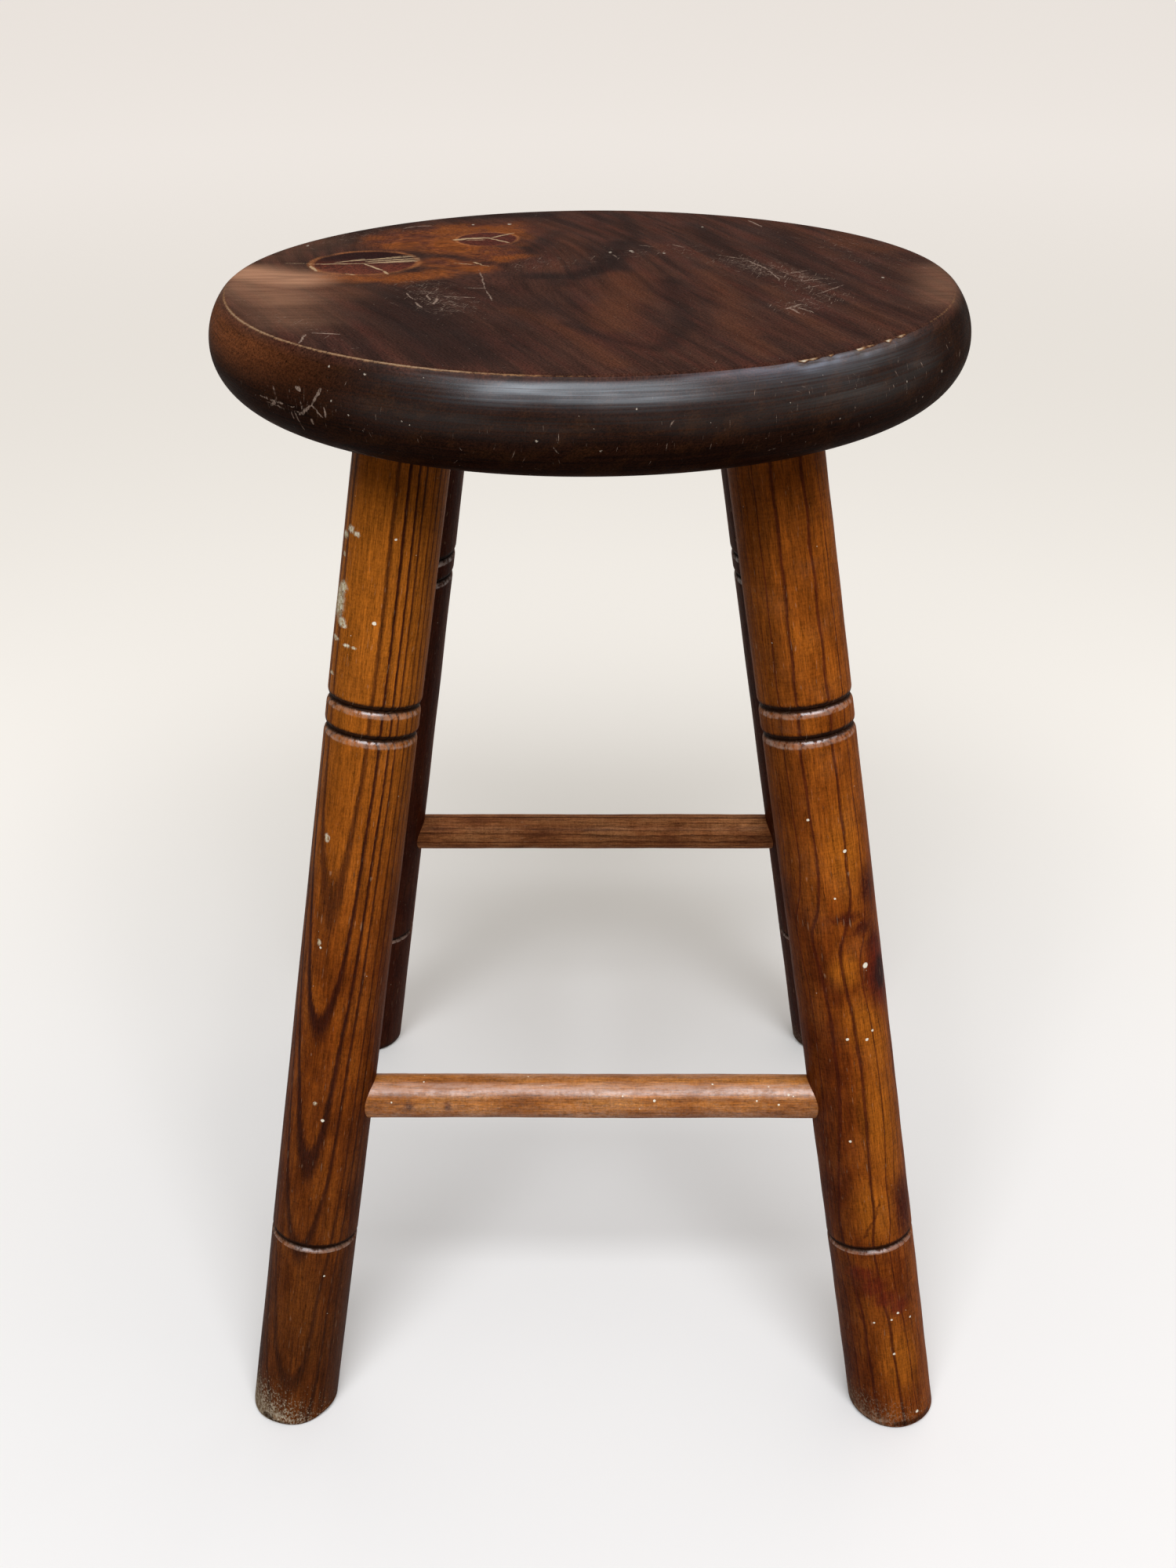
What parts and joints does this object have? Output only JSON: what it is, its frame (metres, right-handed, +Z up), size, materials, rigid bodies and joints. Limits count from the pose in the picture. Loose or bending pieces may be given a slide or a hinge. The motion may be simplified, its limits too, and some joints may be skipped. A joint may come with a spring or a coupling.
{
  "type": "wooden stool",
  "caption": "Low wooden stool with a round bullnosed seat on splayed turned legs, tied together by round stretchers between the legs.",
  "frame": {"origin": "on the floor, at the centre of the stool's plan, right under the centre of the round seat", "axes": "+Z up; -Y is the front that the picture shows; +X is to the right of someone who looks at that front"},
  "size_m": [0.3006, 0.3006, 0.46],
  "materials": {
    "seat_wood": "very dark brown stained pine, worn satin varnish, pale wood at the worn edge",
    "leg_wood": "amber brown stained pine, semi-gloss varnish, worn rings and feet",
    "stretcher_wood": "amber brown stained pine, semi-gloss varnish"
  },
  "bodies": {
    "root": {"seat": "seat_wood", "leg_front_left": "leg_wood", "leg_front_right": "leg_wood", "leg_back_left": "leg_wood", "leg_back_right": "leg_wood", "stretcher_front": "stretcher_wood", "stretcher_back": "stretcher_wood", "stretcher_left": "stretcher_wood", "stretcher_right": "stretcher_wood"}
  },
  "joints": []
}
